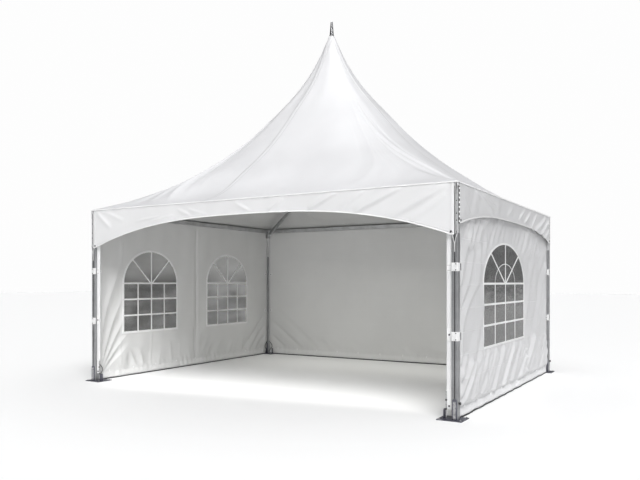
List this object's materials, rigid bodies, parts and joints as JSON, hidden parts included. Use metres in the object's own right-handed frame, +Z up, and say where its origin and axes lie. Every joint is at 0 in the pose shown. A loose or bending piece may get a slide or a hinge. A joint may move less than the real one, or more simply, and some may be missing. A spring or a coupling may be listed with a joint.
{
  "type": "high-peak frame marquee tent",
  "caption": "White high-peak frame marquee with a swept canopy, arched valances, an open front and walls with arched windows on the other sides.",
  "frame": {"origin": "centre of the plan on the ground", "axes": "+Z up, the open front faces -Y, +X to the right when facing +Y"},
  "size_m": [5.1, 4.1, 4.895],
  "materials": {
    "dark_steel": "dull dark coating, slightly worn",
    "aluminium": "mill-finished extrusion, fine lengthwise grain",
    "finial_steel": "brushed",
    "coated_fabric": "white PVC-coated polyester, satin",
    "window_film": "clear flexible film",
    "webbing": "white woven webbing"
  },
  "bodies": {
    "root": {"foot_front_left": "dark_steel", "foot_front_right": "dark_steel", "foot_back_left": "dark_steel", "foot_back_right": "dark_steel", "post_front_left": "aluminium", "post_front_right": "aluminium", "post_back_left": "aluminium", "post_back_right": "aluminium", "corner_head_front_left": "aluminium", "corner_head_front_right": "aluminium", "corner_head_back_left": "aluminium", "corner_head_back_right": "aluminium", "eave_beam_front": "aluminium", "eave_beam_back": "aluminium", "eave_beam_left": "aluminium", "eave_beam_right": "aluminium", "hip_rafter_front_left": "aluminium", "hip_rafter_front_right": "aluminium", "hip_rafter_back_left": "aluminium", "hip_rafter_back_right": "aluminium", "centre_hub": "aluminium", "king_post": "aluminium", "finial": "finial_steel", "roof_front": "coated_fabric", "roof_back": "coated_fabric", "roof_left": "coated_fabric", "roof_right": "coated_fabric", "front_valance": "coated_fabric", "back_valance": "coated_fabric", "left_valance": "coated_fabric", "right_valance": "coated_fabric", "left_wall": "coated_fabric", "right_wall": "coated_fabric", "back_wall": "coated_fabric", "left_window_front": "window_film", "left_window_back": "window_film", "right_window": "window_film", "front_edge_strip_left": "coated_fabric", "front_edge_strip_right": "coated_fabric", "strap_front_left_upper": "webbing", "strap_front_left_lower": "webbing", "strap_front_right_upper": "webbing", "strap_front_right_lower": "webbing", "strap_back_left_upper": "webbing", "strap_back_left_lower": "webbing", "strap_back_right_upper": "webbing", "strap_back_right_lower": "webbing"}
  },
  "joints": []
}
